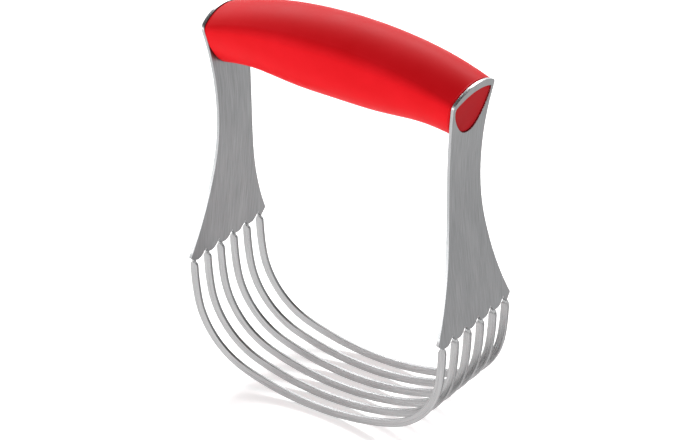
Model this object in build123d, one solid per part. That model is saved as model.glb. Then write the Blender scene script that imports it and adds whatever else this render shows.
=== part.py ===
from build123d import *
import math
import os
from dataclasses import dataclass

# A hand-held pastry blender, in millimetres.
# X runs along the handle, Y across the row of blades, and Z is up.
# The origin is on the resting line, centred under the blades.
# A "rise" is a height above the necks, where the blades leave the arms.

# Blades: strips that stand on edge, each bent into a U
BLADE_COUNT = 6
PITCH = 7.8
SHEET = 1.2
BLADE_DEPTH = 2.9
BLADE_HALF_SPAN = 54.1
NECK_HEIGHT = 44.0
BOTTOM_RADIUS = 107.0
CORNER_RADIUS = 30.9
SIDE_RADIUS = 90.0
NOSE_LENGTH = 1.6

# Arms: flared sheet legs that lean inwards, then bow back out to the ring
LOBE_DROP = 0.4
LOBE_FLAT = 1.0
NOTCH_HEIGHT = 2.4
NOTCH_SHARE = 0.79
NOTCH_LEAN = 0.3
FOOT_MARGIN = 2.7
FOOT_CHAMFER = 2.1
WAIST_HALF_WIDTH = 9.5
WAIST_RISE = 54.7
LEAN_ANGLE = 5.9
LEAN_LENGTH = 35.7
BOW_RADIUS = 177.0
BOW_SWEEP = 24.0

# Ring at the top of each arm
RING_HALF_WIDTH = 12.5
RING_CORNER_RISE = 89.3
RING_CROWN_RISE = 93.2
RING_CORNER_ROUNDING = 2.5

# Handle: a soft sleeve over a stiff core, with a plug in each window
SLEEVE_WALL = 1.6
SLEEVE_CLEARANCE = 0.2
SEAT_GAP = 0.15
PLUG_CLEARANCE = 0.15
PLUG_RECESS = 0.5
STEM_RADIUS = 3.0
STEM_LENGTH = 10.0
STEM_CLEARANCE = 0.1
STEM_RISE = 82.5


@dataclass(frozen=True)
class Shield:
    """An arched top on two rounded corners, with flanks that run in to the bottom."""

    crown_rise: float
    corner_half_width: float
    corner_rise: float
    corner_rounding: float
    flank_half_width: float
    flank_rise: float
    bottom_rise: float

    def shrunk(self, inset):
        """The same shield moved in all round, each point along its own normal."""
        arch_slope = math.atan2(self.crown_rise - self.corner_rise, self.corner_half_width / 2)
        flank_slope = math.atan2(self.flank_rise - self.bottom_rise, self.flank_half_width / 2)
        corner_sink = inset * (1 - math.sin(arch_slope)) / math.cos(arch_slope)
        return Shield(
            self.crown_rise - inset,
            self.corner_half_width - inset,
            self.corner_rise - corner_sink,
            self.corner_rounding - inset / 2,
            self.flank_half_width - inset * math.sin(flank_slope),
            self.flank_rise + inset * math.cos(flank_slope),
            self.bottom_rise + inset,
        )


# Window through each ring
WINDOW = Shield(90.1, 10.8, 87.8, 1.3, 8.1, 80.3, 74.6)

# Handle sections: the middle one, then others at their distance in from the arms' feet
MIDDLE_SECTION = Shield(101.5, 14.3, 96.1, 5.0, 11.9, 80.8, 72.8)
END_SECTIONS = (
    (34.0, Shield(100.5, 14.1, 95.3, 4.8, 11.7, 81.0, 73.1)),
    (16.0, Shield(97.5, 13.5, 92.8, 3.9, 11.2, 81.8, 74.2)),
    (4.5, Shield(94.2, 12.7, 90.0, 2.9, 10.2, 79.8, 72.5)),
    (0.0, Shield(92.7, 12.3, 88.7, 2.5, 10.0, 79.0, 71.6)),
)

# Width of the trimming solids, and how far they run past what they trim
FULL_SPAN = 200.0
TRIM_MARGIN = 5.0

BLADE_PLACES = [(index - (BLADE_COUNT - 1) / 2) * PITCH for index in range(BLADE_COUNT)]
FOOT_HALF_WIDTH = BLADE_PLACES[-1] + FOOT_MARGIN
# Each neck is twisted a quarter turn, so it is as wide as the sheet is thick
HALF_NECK = SHEET / 2
SHEET_MIDDLE = BLADE_HALF_SPAN - BLADE_DEPTH / 2
ARM_OUTER = SHEET_MIDDLE + SHEET / 2


def front_prism(edges, width):
    """A face drawn as (x, z), swept both ways along Y, width in all."""
    return extrude(Plane.XZ * make_face(edges), width / 2, dir=(0, 1, 0), both=True)


def right_prism(face):
    """A face drawn as (y, z), swept along X through the whole right half."""
    return extrude(Plane.YZ * face, FULL_SPAN / 2, dir=(1, 0, 0))


def at_left(shape):
    return mirror(shape, about=Plane.YZ)


# ---------------------------------------------------------------- blades


def corner_centre():
    """Centre of the arc that meets both the bottom and the side arc."""
    bottom_reach = BOTTOM_RADIUS - CORNER_RADIUS
    side_reach = SIDE_RADIUS - CORNER_RADIUS
    run = BLADE_HALF_SPAN - SIDE_RADIUS
    climb = NECK_HEIGHT - BOTTOM_RADIUS
    gap = math.hypot(run, climb)
    along = (bottom_reach**2 - side_reach**2 + gap**2) / (2 * gap)
    aside = math.sqrt(bottom_reach**2 - along**2)
    x = (along * run - aside * climb) / gap
    z = BOTTOM_RADIUS + (along * climb + aside * run) / gap
    return x, z


def half_curve(inset):
    """Half of the U as arcs, from the bottom up to the nose, moved in by inset."""
    bottom = (0.0, BOTTOM_RADIUS)
    corner = corner_centre()
    side = (BLADE_HALF_SPAN - SIDE_RADIUS, NECK_HEIGHT)
    corner_start = math.degrees(math.atan2(corner[1] - bottom[1], corner[0] - bottom[0]))
    corner_end = math.degrees(math.atan2(corner[1] - side[1], corner[0] - side[0]))
    nose_start = -math.degrees(NOSE_LENGTH / SIDE_RADIUS)
    return [
        CenterArc(bottom, BOTTOM_RADIUS - inset, -90.0, corner_start + 90.0),
        CenterArc(corner, CORNER_RADIUS - inset, corner_start, corner_end - corner_start),
        CenterArc(side, SIDE_RADIUS - inset, corner_end, nose_start - corner_end),
    ]


def half_blade():
    """Right half of a blade, with the nose that narrows to the neck."""
    outer = half_curve(0.0)
    inner = half_curve(BLADE_DEPTH)
    neck_outer = (SHEET_MIDDLE + SHEET / 2, NECK_HEIGHT)
    neck_inner = (SHEET_MIDDLE - SHEET / 2, NECK_HEIGHT)
    nose = Polyline(outer[-1] @ 1, neck_outer, neck_inner, inner[-1] @ 1)
    middle = Line(inner[0] @ 0, outer[0] @ 0)
    return front_prism(outer + [nose] + inner + [middle], SHEET)


def blade(place):
    right = half_blade()
    return Pos(0, place, 0) * (right + at_left(right))


# ---------------------------------------------------------------- shields


def shield_face(shield):
    """A shield as (y, z)."""
    right = (shield.corner_half_width, NECK_HEIGHT + shield.corner_rise)
    left = (-right[0], right[1])
    flank_z = NECK_HEIGHT + shield.flank_rise
    crown = (0, NECK_HEIGHT + shield.crown_rise)
    bottom = (0, NECK_HEIGHT + shield.bottom_rise)
    edges = [
        ThreePointArc(left, crown, right),
        Spline(right, (shield.flank_half_width, flank_z), bottom, tangents=((0, -1), (-1, 0))),
        Spline(left, (-shield.flank_half_width, flank_z), bottom, tangents=((0, -1), (1, 0))),
    ]
    face = make_face(edges)
    corners = face.vertices().sort_by(Axis.Y)[-2:]
    return fillet(corners, shield.corner_rounding)


# ---------------------------------------------------------------- arms


def bow_centre():
    """Centre of the outward bow of the right arm, as (x, z)."""
    lean = math.radians(LEAN_ANGLE)
    x = ARM_OUTER - LEAN_LENGTH * math.sin(lean) + BOW_RADIUS * math.cos(lean)
    z = NECK_HEIGHT + LEAN_LENGTH * math.cos(lean) + BOW_RADIUS * math.sin(lean)
    return x, z


def bow_line(depth):
    """The right arm's line as (x, z), at a depth under its outer face."""
    lean = math.radians(LEAN_ANGLE)
    arc = CenterArc(bow_centre(), BOW_RADIUS + depth, 180.0 + LEAN_ANGLE, -BOW_SWEEP)
    up = Vector(-math.sin(lean), math.cos(lean))
    knee = arc @ 0
    return [Line(knee - up * (LEAN_LENGTH + TRIM_MARGIN), knee), arc]


def outer_face_at(rise):
    """Where the right arm's outer face is along X, on its bow."""
    centre_x, centre_z = bow_centre()
    return centre_x - math.sqrt(BOW_RADIUS**2 - (NECK_HEIGHT + rise - centre_z) ** 2)


def bow_layer(outer_depth, inner_depth):
    """The layer of the right arm's sheet between two depths, full width."""
    outer = bow_line(outer_depth)
    inner = bow_line(inner_depth)
    foot = Line(outer[0] @ 0, inner[0] @ 0)
    top = Line(outer[-1] @ 1, inner[-1] @ 1)
    return front_prism(outer + inner + [foot, top], FULL_SPAN)


def scallop(place, following):
    """Lower edge from one neck to the next: a lobe, a notch and the far neck."""
    lobe_near = Vector(place + HALF_NECK + LOBE_DROP, NECK_HEIGHT - LOBE_DROP)
    lobe_far = lobe_near + Vector(LOBE_FLAT, 0)
    notch = Vector(place + NOTCH_SHARE * PITCH, NECK_HEIGHT + NOTCH_HEIGHT)
    run = notch.X - lobe_far.X
    lobe_pull = lobe_far + Vector(run / 2, 0)
    notch_pull = notch - Vector(run * NOTCH_LEAN, NOTCH_HEIGHT / 2)
    return [
        Polyline((place + HALF_NECK, NECK_HEIGHT), lobe_near, lobe_far),
        Bezier(lobe_far, lobe_pull, notch_pull, notch),
        Line(notch, (following - HALF_NECK, NECK_HEIGHT)),
        Line((following - HALF_NECK, NECK_HEIGHT), (following + HALF_NECK, NECK_HEIGHT)),
    ]


def foot_corner(side):
    return side * FOOT_HALF_WIDTH, NECK_HEIGHT + FOOT_CHAMFER


def ring_corner(side):
    return side * RING_HALF_WIDTH, NECK_HEIGHT + RING_CORNER_RISE


def flank(side):
    """One side edge of the arm: two arcs that meet at the waist."""
    waist = (side * WAIST_HALF_WIDTH, NECK_HEIGHT + WAIST_RISE)
    return [
        TangentArc(waist, foot_corner(side), tangent=(0, -1)),
        TangentArc(waist, ring_corner(side), tangent=(0, 1)),
    ]


def arm_face():
    first = BLADE_PLACES[0]
    last = BLADE_PLACES[-1]
    crown = (0, NECK_HEIGHT + RING_CROWN_RISE)
    front_neck = [(first - HALF_NECK, NECK_HEIGHT), (first + HALF_NECK, NECK_HEIGHT)]
    edges = [Polyline(foot_corner(-1), *front_neck)]
    for place, following in zip(BLADE_PLACES, BLADE_PLACES[1:]):
        edges += scallop(place, following)
    edges.append(Line((last + HALF_NECK, NECK_HEIGHT), foot_corner(1)))
    edges += flank(1) + flank(-1)
    edges.append(ThreePointArc(ring_corner(-1), crown, ring_corner(1)))
    face = make_face(edges)
    top_corners = face.vertices().sort_by(Axis.Y)[-2:]
    return fillet(top_corners, RING_CORNER_ROUNDING)


def right_arm():
    blank = right_prism(arm_face())
    window = right_prism(shield_face(WINDOW))
    return (blank & bow_layer(0.0, SHEET)) - window


# ---------------------------------------------------------------- handle


def handle_blank(inset):
    """The handle's full body, moved in by inset, running past both arms."""
    right = [(SHEET_MIDDLE - distance, shield) for distance, shield in END_SECTIONS]
    left = [(-x, shield) for x, shield in reversed(right)]
    places = left + [(0.0, MIDDLE_SECTION)] + right
    return loft([Pos(x, 0, 0) * (Plane.YZ * shield_face(shield.shrunk(inset))) for x, shield in places])


def between_arms(clearance):
    """The space between the arms' inner faces, less a clearance at each."""
    right = bow_layer(SHEET + clearance, ARM_OUTER + TRIM_MARGIN)
    return right + at_left(right)


def right_stem(radius, length):
    """A rod along X, from inside the right plug's head towards the middle."""
    rod = Cylinder(radius, length, rotation=(0, 90, 0))
    tip = outer_face_at(STEM_RISE) - SHEET
    return Pos(tip - length / 2, 0, NECK_HEIGHT + STEM_RISE) * rod


def right_plug():
    """The plug that fills the right window and is pressed into the core."""
    head = right_prism(shield_face(WINDOW.shrunk(PLUG_CLEARANCE)))
    head &= bow_layer(PLUG_RECESS, SHEET)
    return head + right_stem(STEM_RADIUS, STEM_LENGTH)


def handle_core():
    blank = handle_blank(SLEEVE_WALL + SLEEVE_CLEARANCE) & between_arms(SEAT_GAP)
    socket = right_stem(STEM_RADIUS + STEM_CLEARANCE, STEM_LENGTH + STEM_CLEARANCE)
    return blank - socket - at_left(socket)


def handle_grip():
    return (handle_blank(0.0) & between_arms(SEAT_GAP)) - handle_blank(SLEEVE_WALL)


# ---------------------------------------------------------------- output


def all_nodes():
    arm = right_arm()
    plug = right_plug()
    nodes = {
        "arm_right": arm,
        "arm_left": at_left(arm),
        "plug_right": plug,
        "plug_left": at_left(plug),
        "handle_core": handle_core(),
        "handle_grip": handle_grip(),
    }
    for number, place in enumerate(BLADE_PLACES, start=1):
        nodes[f"blade_{number}"] = blade(place)
    return nodes


os.makedirs("parts", exist_ok=True)
for name, shape in all_nodes().items():
    export_step(shape, f"parts/{name}.step")
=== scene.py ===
"""Looks of a hand-held pastry blender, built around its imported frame.

Metres, +Z up. X runs along the handle and Y across the row of blades.
The stamped steel frame, the soft sleeve and the end plugs are modelled here
as finished meshes. The handle's hidden core keeps its frame mesh.
"""

import logging
import math
from dataclasses import dataclass
from enum import Enum
from typing import Callable

import bmesh
import bpy
import numpy as np
from mathutils import Matrix, Vector


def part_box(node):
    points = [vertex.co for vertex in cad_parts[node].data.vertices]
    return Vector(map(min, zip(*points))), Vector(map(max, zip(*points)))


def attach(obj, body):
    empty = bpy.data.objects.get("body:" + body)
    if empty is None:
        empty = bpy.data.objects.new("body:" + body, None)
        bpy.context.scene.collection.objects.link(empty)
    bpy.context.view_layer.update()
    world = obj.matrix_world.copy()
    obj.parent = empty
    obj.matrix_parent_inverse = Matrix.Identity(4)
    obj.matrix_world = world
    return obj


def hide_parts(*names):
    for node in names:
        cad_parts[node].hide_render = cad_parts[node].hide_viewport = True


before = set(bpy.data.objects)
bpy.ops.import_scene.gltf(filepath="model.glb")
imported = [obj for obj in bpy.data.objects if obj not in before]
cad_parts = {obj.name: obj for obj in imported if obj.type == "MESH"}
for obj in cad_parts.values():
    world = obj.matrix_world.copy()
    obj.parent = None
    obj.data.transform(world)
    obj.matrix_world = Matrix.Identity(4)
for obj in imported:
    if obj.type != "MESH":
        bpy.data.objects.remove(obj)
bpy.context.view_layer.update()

LOG = logging.getLogger("pastry_blender")
MM = 0.001
BODY = "root"
GRAIN = "grain"
MERGE_DISTANCE = 1e-7

Point = tuple[float, float]
Run = Callable[[float], Point]


class Side(Enum):
    """Which arm a piece belongs to; the value is the sign of its X."""

    LEFT = -1
    RIGHT = 1


# ------------------------------------------------------------------ curves


def circle_span(half_width: float, height: float) -> float:
    """Gives the radius of an arch.

    Args:
        half_width: Half of the arch's span.
        height: How far the crown stands above the ends.

    Returns:
        The radius of the circle through both ends and the crown.
    """
    return (half_width**2 + height**2) / (2 * height)


def waist_arc(waist: Point, end: Point) -> Run:
    """Makes the arc that leaves the waist vertically and reaches an end.

    Args:
        waist: Where the arc is vertical.
        end: Where the arc ends.

    Returns:
        A run from the end, at 0, to the waist, at 1.
    """
    out, rise = end[0] - waist[0], end[1] - waist[1]
    radius = (out**2 + rise**2) / (2 * out)
    sweep = math.atan2(abs(rise), abs(radius) - abs(out))

    def run(share: float) -> Point:
        """Gives the point at a share of the arc.

        Args:
            share: From 0 to 1.

        Returns:
            The point.
        """
        angle = sweep * (1 - share)
        along = math.copysign(abs(radius) * math.sin(angle), rise)
        return waist[0] + radius * (1 - math.cos(angle)), waist[1] + along

    return run


def flank_run(start: Point, middle: Point, end: Point) -> Run:
    """Makes the smooth flank that starts downwards and ends level.

    Args:
        start: The flank's upper end.
        middle: A point that the flank passes.
        end: The flank's lower end, on the middle plane.

    Returns:
        A run from the start, at 0, to the end, at 1.
    """
    first, second, third = (np.array(point) for point in (start, middle, end))
    near, far = np.linalg.norm(second - first), np.linalg.norm(third - second)
    full = near + far

    def pace(at: float) -> float:
        """Gives the speed of the parabola through the three points.

        Args:
            at: The share at which it is taken.

        Returns:
            The speed.
        """
        weights = (
            (2 * at - near - full) / (near * full),
            (2 * at - full) / (near * (near - full)),
            (2 * at - near) / (full * (full - near)),
        )
        return float(np.linalg.norm(sum(w * p for w, p in zip(weights, (first, second, third)))))

    leave = pace(0.0) * np.array((0.0, -1.0))
    arrive = pace(full) * np.array((-1.0, 0.0))
    chords = 3 * (near * (third - second) / far + far * (second - first) / near)
    through = (chords - far * leave - near * arrive) / (2 * full)

    def run(share: float) -> Point:
        """Gives the point at a share of the flank.

        Args:
            share: From 0 to 1.

        Returns:
            The point.
        """
        at = share * full
        if at <= near:
            ends, slopes, length, part = (first, second), (leave, through), near, at / near
        else:
            ends, slopes, length, part = (second, third), (through, arrive), far, (at - near) / far
        point = (
            (2 * part**3 - 3 * part**2 + 1) * ends[0]
            + (part**3 - 2 * part**2 + part) * length * slopes[0]
            + (3 * part**2 - 2 * part**3) * ends[1]
            + (part**3 - part**2) * length * slopes[1]
        )
        return float(point[0]), float(point[1])

    return run


@dataclass(frozen=True)
class ArchSteps:
    """How many steps the parts of an arched half outline have."""

    arch: int = 14
    corner: int = 7
    flank: int = 22


def arched_half(crown_z: float, corner: Point, rounding: float, flank: Run, steps: ArchSteps) -> list[Point]:
    """Draws an arch, a rounded corner and the flank that follows.

    Args:
        crown_z: Height of the arch's middle.
        corner: Where the arch and the flank would meet.
        rounding: Radius of the corner.
        flank: The run down from the corner.
        steps: How finely each part is drawn.

    Returns:
        The points from the crown to the flank's end.
    """
    radius = circle_span(corner[0], crown_z - corner[1])
    centre = Vector((0.0, crown_z - radius))
    nudge = 1e-4

    def ball(share: float) -> tuple[Vector, Vector]:
        """Gives a flank point and the centre of the ball that touches it.

        Args:
            share: Where on the flank, from 0 to 1.

        Returns:
            The point and the centre.
        """
        here, ahead = Vector(flank(share)), Vector(flank(share + nudge))
        way = (ahead - here).normalized()
        return here, here + Vector((way.y, -way.x)) * rounding

    low, high = 0.0, 0.5
    for _ in range(40):
        middle = (low + high) / 2
        if (ball(middle)[1] - centre).length > radius - rounding:
            low = middle
        else:
            high = middle
    leave, hub = ball(low)
    touch = (hub - centre).normalized()
    tilt = math.atan2(touch.x, touch.y)
    points = []
    for i in range(steps.arch):
        angle = tilt * i / steps.arch
        points.append((centre.x + radius * math.sin(angle), centre.y + radius * math.cos(angle)))
    turn = math.atan2((leave - hub).x, (leave - hub).y)
    for i in range(steps.corner):
        angle = tilt + (turn - tilt) * i / steps.corner
        points.append((hub.x + rounding * math.sin(angle), hub.y + rounding * math.cos(angle)))
    points += [flank(low + (1 - low) * i / steps.flank) for i in range(steps.flank + 1)]
    return points


def both_halves(half: list[Point]) -> list[Point]:
    """Closes a half outline, from its crown to its bottom, with its mirror image.

    Args:
        half: The half outline's points.

    Returns:
        The closed outline's points.
    """
    return half + [(-y, z) for y, z in reversed(half[1:-1])]


def inset_loop(loop: list[Point], inset: float) -> list[Point]:
    """Moves a clockwise loop inwards, each corner along its bisector.

    Args:
        loop: The closed loop's points.
        inset: How far its edges move.

    Returns:
        The moved points, one for each given point.
    """
    moved = []
    for index, point in enumerate(loop):
        here = Vector(point)
        before = (here - Vector(loop[index - 1])).normalized()
        after = (Vector(loop[(index + 1) % len(loop)]) - here).normalized()
        inward = Vector((before.y + after.y, -before.x - after.x)).normalized()
        stretch = max(0.5, inward.dot(Vector((before.y, -before.x))))
        moved.append(tuple(here + inward * inset / stretch))
    return moved


# ------------------------------------------------------------------ meshes


def first_ring(bm: bmesh.types.BMesh, places: list[Vector]) -> list[bmesh.types.BMVert]:
    """Adds a closed ring of edges through the given places.

    Args:
        bm: The mesh to add to.
        places: Where its vertices go.

    Returns:
        The ring's vertices, in order.
    """
    ring = [bm.verts.new(place) for place in places]
    for index, vert in enumerate(ring):
        bm.edges.new((ring[index - 1], vert))
    return ring


def next_ring(
    bm: bmesh.types.BMesh, ring: list[bmesh.types.BMVert], places: list[Vector]
) -> list[bmesh.types.BMVert]:
    """Extrudes a ring of edges to new places.

    Args:
        bm: The mesh.
        ring: The ring's vertices, in order.
        places: Where each new vertex goes, in the same order.

    Returns:
        The new ring's vertices, in the same order.
    """
    edges = [bm.edges.get((ring[index - 1], vert)) for index, vert in enumerate(ring)]
    old = set(ring)
    made = bmesh.ops.extrude_edge_only(bm, edges=edges)["geom"]
    follower = {}
    for vert in (item for item in made if isinstance(item, bmesh.types.BMVert)):
        for edge in vert.link_edges:
            other = edge.other_vert(vert)
            if other in old:
                follower[other] = vert
    fresh = [follower[vert] for vert in ring]
    for vert, place in zip(fresh, places):
        vert.co = place
    return fresh


def fill_rings(bm: bmesh.types.BMesh, *rings: list[bmesh.types.BMVert]) -> None:
    """Fills the area inside the first ring and outside the others.

    Args:
        bm: The mesh that holds them.
        *rings: The outer ring, then any inner ones.
    """
    edges = [bm.edges.get((ring[i - 1], vert)) for ring in rings for i, vert in enumerate(ring)]
    bmesh.ops.triangle_fill(bm, use_beauty=True, use_dissolve=False, edges=edges)


def cut_levels(bm: bmesh.types.BMesh, low: float, high: float, pitch: float) -> None:
    """Cuts the mesh by level planes, so that it can follow a bend.

    Args:
        bm: The mesh to cut.
        low: Height of the lowest plane.
        high: Height that the planes stay under.
        pitch: Distance between them.
    """
    for index in range(1, math.ceil((high - low) / pitch)):
        geometry = [*bm.verts, *bm.edges, *bm.faces]
        level = Vector((0.0, 0.0, low + index * pitch))
        bmesh.ops.bisect_plane(bm, geom=geometry, dist=MERGE_DISTANCE, plane_co=level, plane_no=(0, 0, 1))


def rounded_rim(radius: float, steps: int = 2) -> list[Point]:
    """Gives a quarter-round rim as (inset, depth), from the face to the wall.

    Args:
        radius: The rim's radius.
        steps: How many steps it takes.

    Returns:
        The rim's steps.
    """
    angles = [math.pi / 2 * i / steps for i in range(steps + 1)]
    return [(radius * (1 - math.sin(angle)), radius * (1 - math.cos(angle))) for angle in angles]


def make_piece(
    name: str,
    bm: bmesh.types.BMesh,
    materials: list[bpy.types.Material],
    nodes: list[str],
) -> bpy.types.Object:
    """Turns a finished mesh into a piece that rides on the frame.

    Args:
        name: The piece's name.
        bm: The mesh, which is freed.
        materials: Materials, in the order of the faces' indices.
        nodes: The frame nodes that the piece stands for.

    Returns:
        The new object.
    """
    bmesh.ops.recalc_face_normals(bm, faces=bm.faces)
    for face in bm.faces:
        face.smooth = True
    mesh = bpy.data.meshes.new(name)
    bm.to_mesh(mesh)
    bm.free()
    for material in materials:
        mesh.materials.append(material)
    piece = bpy.data.objects.new(name, mesh)
    bpy.context.scene.collection.objects.link(piece)
    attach(piece, BODY)
    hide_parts(*nodes)
    LOG.info("%s: %d faces, for %s", name, len(mesh.polygons), ", ".join(nodes))
    return piece


def even_shading(piece: bpy.types.Object) -> None:
    """Lets the large faces of a piece lead its shading, so that they look flat.

    Args:
        piece: The object to shade.
    """
    modifier = piece.modifiers.new("even_shading", "WEIGHTED_NORMAL")
    modifier.mode = "FACE_AREA"
    modifier.weight = 100
    modifier.keep_sharp = True


# ------------------------------------------------------------------ finishes


def new_material(name: str) -> tuple[bpy.types.Material, bpy.types.NodeTree, bpy.types.Node]:
    """Makes a node material and gives it with its tree and its shader.

    Args:
        name: The material's name.

    Returns:
        The material, its node tree and its main shader.
    """
    material = bpy.data.materials.new(name)
    material.use_nodes = True
    tree = material.node_tree
    return material, tree, tree.nodes["Principled BSDF"]


def noise_on(
    tree: bpy.types.NodeTree, vector: bpy.types.NodeSocket, stretch: tuple, detail: float, roughness: float
) -> bpy.types.NodeSocket:
    """Adds noise on a stretched vector.

    Args:
        tree: The material's nodes.
        vector: The coordinates.
        stretch: Cycles per metre along each coordinate.
        detail: Octaves of noise.
        roughness: How strong the finer octaves are.

    Returns:
        The noise's value socket.
    """
    mapping = tree.nodes.new("ShaderNodeMapping")
    mapping.inputs["Scale"].default_value = stretch
    tree.links.new(vector, mapping.inputs["Vector"])
    noise = tree.nodes.new("ShaderNodeTexNoise")
    noise.inputs["Scale"].default_value = 1.0
    noise.inputs["Detail"].default_value = detail
    noise.inputs["Roughness"].default_value = roughness
    tree.links.new(mapping.outputs["Vector"], noise.inputs["Vector"])
    return noise.outputs["Fac"]


def spread(
    tree: bpy.types.NodeTree, value: bpy.types.NodeSocket, low: float, high: float
) -> bpy.types.NodeSocket:
    """Maps noise, which stays near its middle, to a range from low to high.

    Args:
        tree: The material's nodes.
        value: The noise.
        low: What low noise becomes.
        high: What high noise becomes.

    Returns:
        The mapped value.
    """
    node = tree.nodes.new("ShaderNodeMapRange")
    node.inputs["From Min"].default_value = 0.3
    node.inputs["From Max"].default_value = 0.7
    node.inputs["To Min"].default_value = low
    node.inputs["To Max"].default_value = high
    tree.links.new(value, node.inputs["Value"])
    return node.outputs["Result"]


def blend_colours(
    tree: bpy.types.NodeTree, value: bpy.types.NodeSocket, dark: tuple, light: tuple
) -> bpy.types.NodeSocket:
    """Blends between two colours by a value from 0 to 1.

    Args:
        tree: The material's nodes.
        value: The share of the light colour.
        dark: The colour at 0.
        light: The colour at 1.

    Returns:
        The blended colour.
    """
    mix = tree.nodes.new("ShaderNodeMix")
    mix.data_type = "RGBA"
    mix.inputs["A"].default_value = (*dark, 1.0)
    mix.inputs["B"].default_value = (*light, 1.0)
    tree.links.new(value, mix.inputs["Factor"])
    return mix.outputs["Result"]


def add_bump(
    tree: bpy.types.NodeTree,
    shader: bpy.types.Node,
    height: bpy.types.NodeSocket,
    strength: float,
    distance: float,
) -> None:
    """Bumps a shader's surface by a height socket.

    Args:
        tree: The material's nodes.
        shader: The shader to bump.
        height: The height.
        strength: How strongly it shows.
        distance: How high a full bump is.
    """
    bump = tree.nodes.new("ShaderNodeBump")
    bump.inputs["Strength"].default_value = strength
    bump.inputs["Distance"].default_value = distance
    tree.links.new(height, bump.inputs["Height"])
    tree.links.new(bump.outputs["Normal"], shader.inputs["Normal"])


@dataclass(frozen=True)
class SteelFinish:
    """Stainless steel, brushed along the grain that each piece carries."""

    name: str
    dark: tuple = (0.16, 0.163, 0.167)
    light: tuple = (0.31, 0.313, 0.318)
    smooth: float = 0.28
    rough: float = 0.42
    along: float = 90.0
    across: float = 3600.0
    groove: float = 0.012 * MM
    streak_share: float = 0.8
    cloud_share: float = 0.2

    def material(self) -> bpy.types.Material:
        """Builds the brushed material.

        Returns:
            The material.
        """
        material, tree, shader = new_material(self.name)
        shader.inputs["Metallic"].default_value = 1.0
        grain = tree.nodes.new("ShaderNodeAttribute")
        grain.attribute_name = GRAIN
        streaks = noise_on(tree, grain.outputs["Vector"], (self.along, self.across, self.across), 3.0, 0.6)
        clouds = noise_on(tree, grain.outputs["Vector"], (30.0, 160.0, 160.0), 2.0, 0.5)
        both = tree.nodes.new("ShaderNodeMath")
        both.operation = "MULTIPLY_ADD"
        both.inputs[1].default_value = self.streak_share
        tree.links.new(streaks, both.inputs[0])
        half = tree.nodes.new("ShaderNodeMath")
        half.operation = "MULTIPLY"
        half.inputs[1].default_value = self.cloud_share
        tree.links.new(clouds, half.inputs[0])
        tree.links.new(half.outputs["Value"], both.inputs[2])
        tone = blend_colours(tree, spread(tree, both.outputs["Value"], 0.0, 1.0), self.dark, self.light)
        tree.links.new(tone, shader.inputs["Base Color"])
        tree.links.new(spread(tree, streaks, self.smooth, self.rough), shader.inputs["Roughness"])
        add_bump(tree, shader, streaks, 0.5, self.groove)
        return material


@dataclass(frozen=True)
class MouldedFinish:
    """Moulded rubber or plastic with a fine grain and slight colour change."""

    name: str
    dark: tuple
    light: tuple
    smooth: float
    rough: float
    specular: float = 0.4
    specular_tint: tuple = (1.0, 1.0, 1.0)
    grain: float = 3200.0
    height: float = 0.01 * MM

    def material(self) -> bpy.types.Material:
        """Builds the moulded material.

        Returns:
            The material.
        """
        material, tree, shader = new_material(self.name)
        shader.inputs["Specular IOR Level"].default_value = self.specular
        shader.inputs["Specular Tint"].default_value = (*self.specular_tint, 1.0)
        place = tree.nodes.new("ShaderNodeTexCoord").outputs["Object"]
        pores = noise_on(tree, place, (self.grain,) * 3, 2.0, 0.5)
        clouds = noise_on(tree, place, (70.0,) * 3, 3.0, 0.5)
        tone = blend_colours(tree, spread(tree, clouds, 0.0, 1.0), self.dark, self.light)
        tree.links.new(tone, shader.inputs["Base Color"])
        tree.links.new(spread(tree, clouds, self.smooth, self.rough), shader.inputs["Roughness"])
        add_bump(tree, shader, pores, 0.35, self.height)
        return material


BRUSHED_STEEL = SteelFinish("brushed_steel")
GROUND_STEEL = SteelFinish(
    "ground_steel",
    dark=(0.35, 0.352, 0.356),
    light=(0.56, 0.562, 0.566),
    smooth=0.22,
    rough=0.34,
)
SHEARED_EDGE = SteelFinish("sheared_edge", dark=(0.14, 0.142, 0.145), light=(0.24, 0.242, 0.246))
CUT_EDGE = SteelFinish(
    "cut_edge",
    dark=(0.42, 0.43, 0.44),
    light=(0.56, 0.57, 0.58),
    smooth=0.2,
    rough=0.3,
)
RED_SILICONE = MouldedFinish(
    "red_silicone",
    dark=(0.84, 0.008, 0.013),
    light=(0.90, 0.011, 0.018),
    smooth=0.42,
    rough=0.5,
    specular=0.05,
    specular_tint=(1.0, 0.35, 0.5),
)
# Red plastic of the end plugs. The red itself is real, but its base is set about half as bright as the
# sleeve's red. That darkening is painted shade for the plug faces, which sit recessed in the rings' windows
# and are seen at a slant.
RED_PLASTIC_PAINTED_SHADE = MouldedFinish(
    "red_plastic_painted_shade",
    dark=(0.40, 0.006, 0.011),
    light=(0.48, 0.009, 0.014),
    smooth=0.4,
    rough=0.48,
    specular=0.02,
)
GREY_NYLON = MouldedFinish("grey_nylon", (0.05, 0.05, 0.055), (0.07, 0.07, 0.075), 0.45, 0.55)


# ------------------------------------------------------------------ the frame


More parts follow.
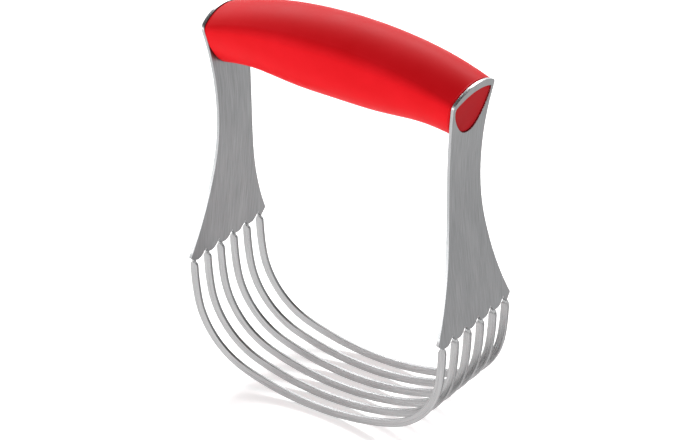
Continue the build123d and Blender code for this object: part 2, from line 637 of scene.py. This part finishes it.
@dataclass(frozen=True)
class ArmLine:
    """How an arm's outer face rises: a straight lean inwards, then a bow outwards."""

    neck: float
    foot_x: float
    lean: float = math.radians(5.9)
    lean_length: float = 35.7 * MM
    bow_radius: float = 177.0 * MM

    def centre(self) -> Point:
        """Gives the centre of the right arm's bow, as (x, z).

        Returns:
            The centre.
        """
        along, aside = self.lean_length, self.bow_radius
        x = self.foot_x - along * math.sin(self.lean) + aside * math.cos(self.lean)
        return x, self.neck + along * math.cos(self.lean) + aside * math.sin(self.lean)

    def face_at(self, z: float, depth: float = 0.0) -> float:
        """Finds the right arm's face.

        Args:
            z: Height in the frame.
            depth: How far under the outer face.

        Returns:
            The face's X at that height.
        """
        centre_x, centre_z = self.centre()
        reach = self.bow_radius + depth
        if z < centre_z - reach * math.sin(self.lean):
            return self.foot_x - (z - self.neck) * math.tan(self.lean) - depth / math.cos(self.lean)
        return centre_x - math.sqrt(reach**2 - (z - centre_z) ** 2)


@dataclass(frozen=True)
class Shield:
    """An arched top on two rounded corners, with flanks that run in to the bottom.

    The values are millimetres, and a rise is a height above the necks.
    """

    crown_rise: float
    corner_half_width: float
    corner_rise: float
    corner_rounding: float
    flank_half_width: float
    flank_rise: float
    bottom_rise: float

    def shrunk(self, inset: float) -> "Shield":
        """Gives the same shield moved in all round by an inset, in millimetres.

        Args:
            inset: How far it is moved in.

        Returns:
            The smaller shield.
        """
        arch_slope = math.atan2(self.crown_rise - self.corner_rise, self.corner_half_width / 2)
        flank_slope = math.atan2(self.flank_rise - self.bottom_rise, self.flank_half_width / 2)
        corner_sink = inset * (1 - math.sin(arch_slope)) / math.cos(arch_slope)
        return Shield(
            self.crown_rise - inset,
            self.corner_half_width - inset,
            self.corner_rise - corner_sink,
            self.corner_rounding - inset / 2,
            self.flank_half_width - inset * math.sin(flank_slope),
            self.flank_rise + inset * math.cos(flank_slope),
            self.bottom_rise + inset,
        )

    def outline(self, neck: float, steps: ArchSteps) -> list[Point]:
        """Draws the shield.

        Args:
            neck: Height of the necks, in metres.
            steps: How finely it is drawn.

        Returns:
            The closed outline as (y, z), in metres, clockwise from the crown.
        """
        corner = (self.corner_half_width * MM, neck + self.corner_rise * MM)
        middle = (self.flank_half_width * MM, neck + self.flank_rise * MM)
        flank = flank_run(corner, middle, (0.0, neck + self.bottom_rise * MM))
        crown_z = neck + self.crown_rise * MM
        return both_halves(arched_half(crown_z, corner, self.corner_rounding * MM, flank, steps))


WINDOW = Shield(90.1, 10.8, 87.8, 1.3, 8.1, 80.3, 74.6)


@dataclass
class Arm:
    """One flared sheet arm, from the necks of the blades up to its ring."""

    line: ArmLine
    places: list[float]
    sheet: float
    pitch: float
    rim: float = 0.14 * MM
    lobe_drop: float = 0.4 * MM
    lobe_flat: float = 1.0 * MM
    notch_height: float = 2.4 * MM
    notch_share: float = 0.79
    foot_margin: float = 2.7 * MM
    foot_chamfer: float = 2.1 * MM
    waist_half_width: float = 9.5 * MM
    waist_rise: float = 54.7 * MM
    notch_lean: float = 0.3
    ring_half_width: float = 12.5 * MM
    ring_corner_rise: float = 89.3 * MM
    ring_crown_rise: float = 93.2 * MM
    ring_rounding: float = 2.5 * MM
    cut_pitch: float = 2.0 * MM
    scallop_steps: int = 10
    wall_facing: float = 0.5

    def scallop(self, place: float) -> list[Point]:
        """Draws the lower edge from behind one neck to the front of the next.

        Args:
            place: Where the first neck is.

        Returns:
            The edge's points, as (y, z).
        """
        neck, half = self.line.neck, self.sheet / 2
        low = neck - self.lobe_drop
        near = place + half + self.lobe_drop
        far = near + self.lobe_flat
        notch = (place + self.notch_share * self.pitch, neck + self.notch_height)
        run = notch[0] - far
        controls = [
            Vector((far, low)),
            Vector((far + run / 2, low)),
            Vector((notch[0] - self.notch_lean * run, notch[1] - self.notch_height / 2)),
            Vector(notch),
        ]
        points = [(place + half, neck), (near, low)]
        for step in range(self.scallop_steps + 1):
            t = step / self.scallop_steps
            weights = ((1 - t) ** 3, 3 * t * (1 - t) ** 2, 3 * t**2 * (1 - t), t**3)
            spot = sum((w * c for w, c in zip(weights, controls)), Vector((0.0, 0.0)))
            points.append(tuple(spot))
        points.append((place + self.pitch - half, neck))
        return points

    def outline(self) -> list[Point]:
        """Draws the arm laid flat as (y, z), clockwise from the crown.

        Returns:
            The outline's points.
        """
        neck, half = self.line.neck, self.sheet / 2
        foot = (self.places[-1] + self.foot_margin, neck + self.foot_chamfer)
        waist = (self.waist_half_width, neck + self.waist_rise)
        corner = (self.ring_half_width, neck + self.ring_corner_rise)
        upper = waist_arc(waist, corner)
        steps = ArchSteps(arch=16, corner=7, flank=16)
        down = arched_half(neck + self.ring_crown_rise, corner, self.ring_rounding, upper, steps)
        lower = waist_arc(waist, foot)
        down += [lower(1 - i / 20) for i in range(1, 21)]
        edge = [(self.places[0] - half, neck)]
        for place in self.places[:-1]:
            edge += self.scallop(place)
        edge.append((self.places[-1] + half, neck))
        return down + edge[::-1] + [(-y, z) for y, z in reversed(down[1:])]

    def mesh(self, side: Side) -> bmesh.types.BMesh:
        """Builds the arm as a flat plate with rounded rims, then bends it.

        Args:
            side: Which arm.

        Returns:
            The finished mesh, with the grain stored on its vertices.
        """
        bm = bmesh.new()
        outer = self.outline()
        hole = WINDOW.outline(self.line.neck, ArchSteps())
        profile = rounded_rim(self.rim)
        levels = profile + [(inset, self.sheet - depth) for inset, depth in reversed(profile)]
        ends = []
        for loop, sign in ((outer, 1), (hole, -1)):
            rings = []
            for inset, depth in levels:
                rings.append([Vector((-depth, *p)) for p in inset_loop(loop, sign * inset)])
            ring = first_ring(bm, rings[0])
            ends.append([ring])
            for places in rings[1:]:
                ring = next_ring(bm, ring, places)
            ends[-1].append(ring)
        fill_rings(bm, ends[0][0], ends[1][0])
        fill_rings(bm, ends[0][1], ends[1][1])
        bm.normal_update()
        for face in bm.faces:
            face.material_index = 1 if abs(face.normal.x) < self.wall_facing else 0
        cut_levels(bm, self.line.neck + self.line.lean_length, max(z for _, z in outer), self.cut_pitch)
        grain = bm.verts.layers.float_vector.new(GRAIN)
        for vert in bm.verts:
            depth = -vert.co.x
            vert[grain] = (vert.co.z, vert.co.y + side.value * self.pitch, depth)
            vert.co.x = side.value * self.line.face_at(vert.co.z, depth)
        return bm


@dataclass
class Blade:
    """A strip on edge, bent into a U, whose ends twist into the arms' necks."""

    line: ArmLine
    place: float
    sheet: float
    half_span: float
    depth: float = 2.9 * MM
    bottom_radius: float = 107.0 * MM
    corner_radius: float = 30.9 * MM
    side_radius: float = 90.0 * MM
    nose: float = 2.3 * MM
    edge_rounding: float = 0.16 * MM
    sink: float = 0.4 * MM
    neck_ease: float = 0.02 * MM
    nose_steps: int = 10
    edge_facing: float = 0.3

    def corner_centre(self) -> Point:
        """Finds the centre of the arc that meets both the bottom and the side arc.

        Returns:
            The centre, as (x, z).
        """
        bottom_reach = self.bottom_radius - self.corner_radius
        side_reach = self.side_radius - self.corner_radius
        run = self.half_span - self.side_radius
        climb = self.line.neck - self.bottom_radius
        gap = math.hypot(run, climb)
        along = (bottom_reach**2 - side_reach**2 + gap**2) / (2 * gap)
        aside = math.sqrt(bottom_reach**2 - along**2)
        x = (along * run - aside * climb) / gap
        return x, self.bottom_radius + (along * climb + aside * run) / gap

    def section(self, half_depth: float, half_sheet: float) -> list[Point]:
        """Draws the strip's rounded section as (depth, width).

        Args:
            half_depth: Half of its depth.
            half_sheet: Half of its thickness.

        Returns:
            The section's points.
        """
        r = self.edge_rounding
        corners = ((1, 1), (-1, 1), (-1, -1), (1, -1))
        points = []
        for index, (a, b) in enumerate(corners):
            for step in range(3):
                angle = math.radians(90 * index + 45 * step)
                points.append((
                    a * (half_depth - r) + r * math.cos(angle),
                    b * (half_sheet - r) + r * math.sin(angle),
                ))
        return points

    def edge(self, inset: float) -> list[Point]:
        """Draws one edge of the right half, from the bottom up to the nose.

        Args:
            inset: How far the edge is moved in from the outer one.

        Returns:
            The edge's points, as (x, z).
        """
        bottom = (0.0, self.bottom_radius)
        side = (self.half_span - self.side_radius, self.line.neck)
        corner = self.corner_centre()
        first = math.atan2(corner[1] - bottom[1], corner[0] - bottom[0])
        second = math.atan2(corner[1] - side[1], corner[0] - side[0])
        last = -self.nose / self.side_radius
        points = []
        arcs = (
            (bottom, self.bottom_radius, -math.pi / 2, first, 20),
            (corner, self.corner_radius, first, second, 18),
            (side, self.side_radius, second, last, 10),
        )
        for centre, radius, start, end, steps in arcs:
            for step in range(steps):
                angle = start + (end - start) * step / steps
                reach = radius - inset
                points.append((centre[0] + reach * math.cos(angle), centre[1] + reach * math.sin(angle)))
        return points

    def stations(self) -> list[tuple[Point, float, float, float]]:
        """Lists the right half's stations.

        Returns:
            The middle's (x, z), the outward direction's angle, the half depth
            and the twist, from the bottom up into the neck.
        """
        found = []
        for outer, inner in zip(self.edge(0.0), self.edge(self.depth)):
            across = Vector(outer) - Vector(inner)
            middle = (Vector(outer) + Vector(inner)) / 2
            found.append((tuple(middle), math.atan2(across.y, across.x), across.length / 2, 0.0))
        half = self.depth / 2
        middle_x = self.half_span - half
        last = -self.nose / self.side_radius
        neck_half = self.sheet / 2 - self.neck_ease
        for step in range(self.nose_steps + 1):
            share = step / self.nose_steps
            spot = (middle_x, self.line.neck - self.nose * (1 - share))
            width = neck_half + (half - neck_half) * (1 - share**2)
            found.append((spot, last * (1 - share), width, share**3 * math.pi / 2))
        top_z = self.line.neck + self.sink
        top_x = middle_x - self.sink * math.tan(self.line.lean)
        found.append(((top_x, top_z), 0.0, neck_half, math.pi / 2))
        return found

    def ring(self, station: tuple[Point, float, float, float], side: int) -> list[Vector]:
        """Places the section at a station of the right or left half.

        Args:
            station: One entry from stations.
            side: 1 for right, -1 for left.

        Returns:
            The ring's places.
        """
        (x, z), angle, half_depth, twist = station
        ease = self.neck_ease * twist / (math.pi / 2)
        outward = Vector((math.cos(angle), 0.0, math.sin(angle)))
        places = []
        for a, b in self.section(half_depth, self.sheet / 2 - ease):
            across = a * math.cos(twist) - b * math.sin(twist)
            along_y = a * math.sin(twist) + b * math.cos(twist)
            spot = Vector((x, self.place, z)) + outward * across + Vector((0.0, along_y, 0.0))
            places.append(Vector((side * spot.x, spot.y, spot.z)))
        return places

    def mesh(self) -> bmesh.types.BMesh:
        """Lofts the strip from the left neck to the right one.

        Returns:
            The finished mesh.
        """
        bm = bmesh.new()
        grain = bm.verts.layers.float_vector.new(GRAIN)
        half = self.stations()
        course = [(station, -1) for station in reversed(half)] + [(station, 1) for station in half[1:]]
        ring = None
        run, last = 0.0, None
        for station, side in course:
            places = self.ring(station, side)
            spot = Vector((side * station[0][0], station[0][1]))
            run += (spot - last).length if last else 0.0
            last = spot
            started = ring is None
            ring = first_ring(bm, places) if started else next_ring(bm, ring, places)
            for vert, (a, b) in zip(ring, self.section(station[2], self.sheet / 2)):
                vert[grain] = (run + self.place, a + 4 * self.place, b + self.place)
            if started:
                fill_rings(bm, ring)
        fill_rings(bm, ring)
        bm.normal_update()
        for face in bm.faces:
            face.material_index = 1 if abs(face.normal.y) < self.edge_facing else 0
        return bm


# ------------------------------------------------------------------ the handle


@dataclass
class Plug:
    """The end plug whose head fills a ring's window, with its stem into the core."""

    line: ArmLine
    sheet: float
    clearance: float = 0.15
    recess: float = 0.5 * MM
    rim: float = 0.25 * MM
    stem_radius: float = 3.0 * MM
    stem_length: float = 10.0 * MM
    stem_rise: float = 82.5 * MM
    cut_pitch: float = 2.0 * MM

    def mesh(self, side: Side) -> bmesh.types.BMesh:
        """Builds the head as a bent plate, then draws its back out into the stem.

        Args:
            side: Which plug.

        Returns:
            The finished mesh.
        """
        bm = bmesh.new()
        neck = self.line.neck
        loop = WINDOW.shrunk(self.clearance).outline(neck, ArchSteps())
        levels = [(inset, self.recess + depth) for inset, depth in rounded_rim(self.rim, 3)]
        levels.append((0.0, self.sheet))
        rings = [[Vector((-depth, *p)) for p in inset_loop(loop, inset)] for inset, depth in levels]
        ring = first_ring(bm, rings[0])
        fill_rings(bm, ring)
        for places in rings[1:]:
            ring = next_ring(bm, ring, places)
        heights = [z for _, z in loop]
        cut_levels(bm, min(heights), max(heights), self.cut_pitch)
        for vert in bm.verts:
            vert.co.x = side.value * self.line.face_at(vert.co.z, -vert.co.x)
        hub_z = neck + self.stem_rise
        tip = self.line.face_at(hub_z) - self.sheet
        for back in (0.0, self.stem_length):
            edges = [edge for edge in bm.edges if edge.is_boundary]
            made = bmesh.ops.extrude_edge_only(bm, edges=edges)["geom"]
            for vert in (item for item in made if isinstance(item, bmesh.types.BMVert)):
                way = Vector((vert.co.y, vert.co.z - hub_z)).normalized() * self.stem_radius
                vert.co = Vector((side.value * (tip - back), way.x, hub_z + way.y))
        bmesh.ops.edgenet_fill(bm, edges=[edge for edge in bm.edges if edge.is_boundary])
        return bm


@dataclass
class Sleeve:
    """The soft sleeve between the arms: arched, faceted in front, thicker in the middle."""

    line: ArmLine
    sheet: float
    wall: float = 1.6
    gap: float = 0.15 * MM
    lip: float = 0.45
    inner_rim: float = 0.15
    rings: int = 72
    inner_rings: int = 16
    middle: Shield = Shield(101.5, 14.3, 96.1, 5.0, 11.9, 80.8, 72.8)
    ends: tuple = (
        (34.0, Shield(100.5, 14.1, 95.3, 4.8, 11.7, 81.0, 73.1)),
        (16.0, Shield(97.5, 13.5, 92.8, 3.9, 11.2, 81.8, 74.2)),
        (4.5, Shield(94.2, 12.7, 90.0, 2.9, 10.2, 79.8, 72.5)),
        (0.0, Shield(92.7, 12.3, 88.7, 2.5, 10.0, 79.0, 71.6)),
    )

    def surface(self, inset: float) -> Callable[[float], np.ndarray]:
        """Makes the smooth surface through the sections.

        Args:
            inset: How far the sections are moved in, in millimetres.

        Returns:
            A function from X, in metres, to the outline there as (y, z) rows.
        """
        steps = ArchSteps(arch=18, corner=10, flank=26)
        reach = self.line.foot_x - self.sheet / 2
        places = [(0.0, self.middle)] + [(reach - distance * MM, shield) for distance, shield in self.ends]
        drawn = [(x, np.array(s.shrunk(inset).outline(self.line.neck, steps))) for x, s in places]
        knots = [(-x, loop) for x, loop in reversed(drawn[1:])] + drawn
        at = np.array([x for x, _ in knots])
        values = np.array([loop for _, loop in knots])
        count = len(at)
        width = np.diff(at)
        slope = np.diff(values, axis=0) / width[:, None, None]
        system = np.eye(count)
        load = np.zeros_like(values)
        for row in range(1, count - 1):
            system[row, row - 1 : row + 2] = width[row - 1], 2 * (width[row - 1] + width[row]), width[row]
            load[row] = 6 * (slope[row] - slope[row - 1])
        bend = np.linalg.solve(system, load.reshape(count, -1)).reshape(values.shape)

        def outline_at(x: float) -> np.ndarray:
            """Gives the outline at one X.

            Args:
                x: Where, in metres.

            Returns:
                The outline as (y, z) rows.
            """
            k = int(np.clip(np.searchsorted(at, x) - 1, 0, count - 2))
            t, h = x - at[k], width[k]
            linear = slope[k] - h * (2 * bend[k] + bend[k + 1]) / 6
            return values[k] + linear * t + bend[k] / 2 * t**2 + (bend[k + 1] - bend[k]) / (6 * h) * t**3

        return outline_at

    def course(self) -> list[tuple[float, float, float]]:
        """Lists the rings as (share of the half length, step back from the end, inset).

        Returns:
            The rings, in order round the wall.
        """
        lip = [(1.0, self.lip * (1 - math.sin(a)) * MM, self.lip * (1 - math.cos(a)))
               for a in (math.radians(step) for step in range(0, 91, 18))]
        end = lip + [(1.0, 0.0, self.wall - self.inner_rim), (1.0, self.inner_rim * MM, self.wall)]
        outer = [(-math.cos(math.pi * i / self.rings), 0.0, 0.0) for i in range(3, self.rings - 2)]
        inner = [(1 - 2 * i / self.inner_rings, 0.0, self.wall) for i in range(1, self.inner_rings)]
        left = [(-share, back, inset) for share, back, inset in reversed(end)]
        return outer + end + inner + left

    def mesh(self) -> bmesh.types.BMesh:
        """Lofts the sleeve round from the outside, over each end, to the inside.

        Returns:
            The finished mesh.
        """
        bm = bmesh.new()
        outside, inside = self.surface(0.0), self.surface(self.wall)

        def spot(index: int, share: float, back: float, inset: float) -> Vector:
            """Places one point of a ring between the arms' inner faces.

            Args:
                index: Which point of the outline.
                share: Place along the half length.
                back: Step back from the end.
                inset: How far it is moved in.

            Returns:
                The point.
            """
            x = share * self.line.foot_x
            for _ in range(4):
                mix = inset / self.wall
                y, z = outside(x)[index] * (1 - mix) + inside(x)[index] * mix
                reach = self.line.face_at(z, self.sheet) - self.gap
                x = share * reach - math.copysign(back, share)
            return Vector((x, y, z))

        count = len(outside(0.0))
        ring = None
        for share, back, inset in self.course():
            places = [spot(index, share, back, inset) for index in range(count)]
            ring = first_ring(bm, places) if ring is None else next_ring(bm, ring, places)
        share, back, inset = self.course()[0]
        next_ring(bm, ring, [spot(index, share, back, inset) for index in range(count)])
        bmesh.ops.remove_doubles(bm, verts=bm.verts, dist=MERGE_DISTANCE)
        return bm


# ------------------------------------------------------------------ the studio


@dataclass
class Studio:
    """The pale floor, the soft lights and the camera."""

    azimuth: float = math.radians(35.283)
    elevation: float = math.radians(30.204)
    roll: float = math.radians(-0.533)
    distance: float = 1.3823
    target: tuple = (0.00079, 0.0, 0.0629)
    lens: float = 204.84
    shift: tuple = (0.00044, 0.0191)
    floor_size: float = 6.0
    floor_glow: float = 0.48
    wall_levels: tuple = ((0.0, 1.0), (0.3, 1.0), (0.62, 0.35), (0.85, 0.12))

    def add_camera(self) -> None:
        """Places the camera and makes it the scene's."""
        a, e = self.azimuth, self.elevation
        back = Vector((math.sin(a) * math.cos(e), -math.cos(a) * math.cos(e), math.sin(e)))
        level = Vector((math.cos(a), math.sin(a), 0.0))
        upright = back.cross(level)
        right = math.cos(self.roll) * level + math.sin(self.roll) * upright
        up = math.cos(self.roll) * upright - math.sin(self.roll) * level
        data = bpy.data.cameras.new("camera")
        data.lens = self.lens
        data.shift_x, data.shift_y = self.shift
        camera = bpy.data.objects.new("camera", data)
        turn = Matrix((right, up, back)).transposed().to_4x4()
        camera.matrix_world = Matrix.Translation(Vector(self.target) + back * self.distance) @ turn
        bpy.context.scene.collection.objects.link(camera)
        bpy.context.scene.camera = camera

    def add_light(self, name: str, place: tuple, size: tuple, power: float, aim: tuple) -> None:
        """Adds a soft rectangular light that points at a place.

        Args:
            name: The light's name.
            place: Where it stands.
            size: Its width and height.
            power: Its power in watts.
            aim: What it points at.
        """
        data = bpy.data.lights.new(name, "AREA")
        data.shape = "RECTANGLE"
        data.size, data.size_y = size
        data.energy = power
        light = bpy.data.objects.new(name, data)
        way = Vector(aim) - Vector(place)
        turn = way.to_track_quat("-Z", "Y").to_matrix().to_4x4()
        light.matrix_world = Matrix.Translation(Vector(place)) @ turn
        bpy.context.scene.collection.objects.link(light)

    def add_world(self) -> None:
        """Surrounds the scene with soft walls under a dark ceiling."""
        world = bpy.data.worlds.new("studio")
        world.use_nodes = True
        tree = world.node_tree
        background = tree.nodes["Background"]
        split = tree.nodes.new("ShaderNodeSeparateXYZ")
        tree.links.new(tree.nodes.new("ShaderNodeTexCoord").outputs["Generated"], split.inputs["Vector"])
        ramp = tree.nodes.new("ShaderNodeValToRGB")
        stops = ramp.color_ramp.elements
        for index, (height, level) in enumerate(self.wall_levels):
            stop = stops[index] if index < len(stops) else stops.new(height)
            stop.position = height
            stop.color = (level, level, level, 1.0)
        tree.links.new(split.outputs["Z"], ramp.inputs["Fac"])
        tree.links.new(ramp.outputs["Color"], background.inputs["Color"])
        bpy.context.scene.world = world

    def add_floor(self) -> None:
        """Lays the pale, slightly glossy floor."""
        bm = bmesh.new()
        bmesh.ops.create_grid(bm, x_segments=8, y_segments=8, size=self.floor_size / 2)
        mesh = bpy.data.meshes.new("floor")
        bm.to_mesh(mesh)
        bm.free()
        material, _, shader = new_material("pale_floor")
        shader.inputs["Base Color"].default_value = (0.92, 0.92, 0.92, 1.0)
        shader.inputs["Roughness"].default_value = 0.22
        shader.inputs["Specular IOR Level"].default_value = 0.4
        shader.inputs["Emission Color"].default_value = (1.0, 1.0, 1.0, 1.0)
        shader.inputs["Emission Strength"].default_value = self.floor_glow
        mesh.materials.append(material)
        floor = bpy.data.objects.new("floor", mesh)
        bpy.context.scene.collection.objects.link(floor)

    def build(self) -> None:
        """Builds the whole studio."""
        self.add_camera()
        self.add_world()
        self.add_floor()
        self.add_light("front_light", (-0.8, -1.15, 0.2), (1.6, 0.4), 3.3, (0.0, 0.0, 0.06))
        self.add_light("back_light", (-0.65, 0.95, 0.75), (1.3, 0.5), 14.0, (0.0, 0.0, 0.1))
        settings = bpy.context.scene.view_settings
        settings.view_transform = "Standard"
        LOG.info("studio: camera %.1f mm", self.lens)


# ------------------------------------------------------------------ assembly


def main() -> None:
    """Builds every piece in order, then the studio."""
    logging.basicConfig(level=logging.INFO, format="%(message)s")
    lows, highs = zip(*(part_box(f"blade_{number}") for number in range(1, 7)))
    places = [(low.y + high.y) / 2 for low, high in zip(lows, highs)]
    sheet = highs[0].y - lows[0].y
    line = ArmLine(neck=highs[0].z, foot_x=highs[0].x - (Blade.depth - sheet) / 2)

    brushed = BRUSHED_STEEL.material()
    ground = GROUND_STEEL.material()
    sheared = SHEARED_EDGE.material()
    cut = CUT_EDGE.material()
    red_rubber = RED_SILICONE.material()
    red_plastic_painted_shade = RED_PLASTIC_PAINTED_SHADE.material()
    nylon = GREY_NYLON.material()

    for side in Side:
        name = side.name.lower()
        arm = Arm(line=line, places=places, sheet=sheet, pitch=places[1] - places[0])
        piece = make_piece(f"sheet_arm_{name}", arm.mesh(side), [brushed, cut], [f"arm_{name}"])
        even_shading(piece)
        plug = Plug(line=line, sheet=sheet)
        # The plugs take the darker red, which is painted shade for their recess.
        make_piece(f"end_plug_{name}", plug.mesh(side), [red_plastic_painted_shade], [f"plug_{name}"])
    for number, place in enumerate(places, start=1):
        strip = Blade(line=line, place=place, sheet=sheet, half_span=highs[0].x)
        materials = [ground, sheared]
        piece = make_piece(f"strip_blade_{number}", strip.mesh(), materials, [f"blade_{number}"])
        even_shading(piece)
    sleeve = Sleeve(line=line, sheet=sheet)
    make_piece("soft_sleeve", sleeve.mesh(), [red_rubber], ["handle_grip"])
    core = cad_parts["handle_core"]
    for material_slot in core.material_slots:
        material_slot.material = nylon
    Studio().build()


if __name__ == "__main__":
    main()
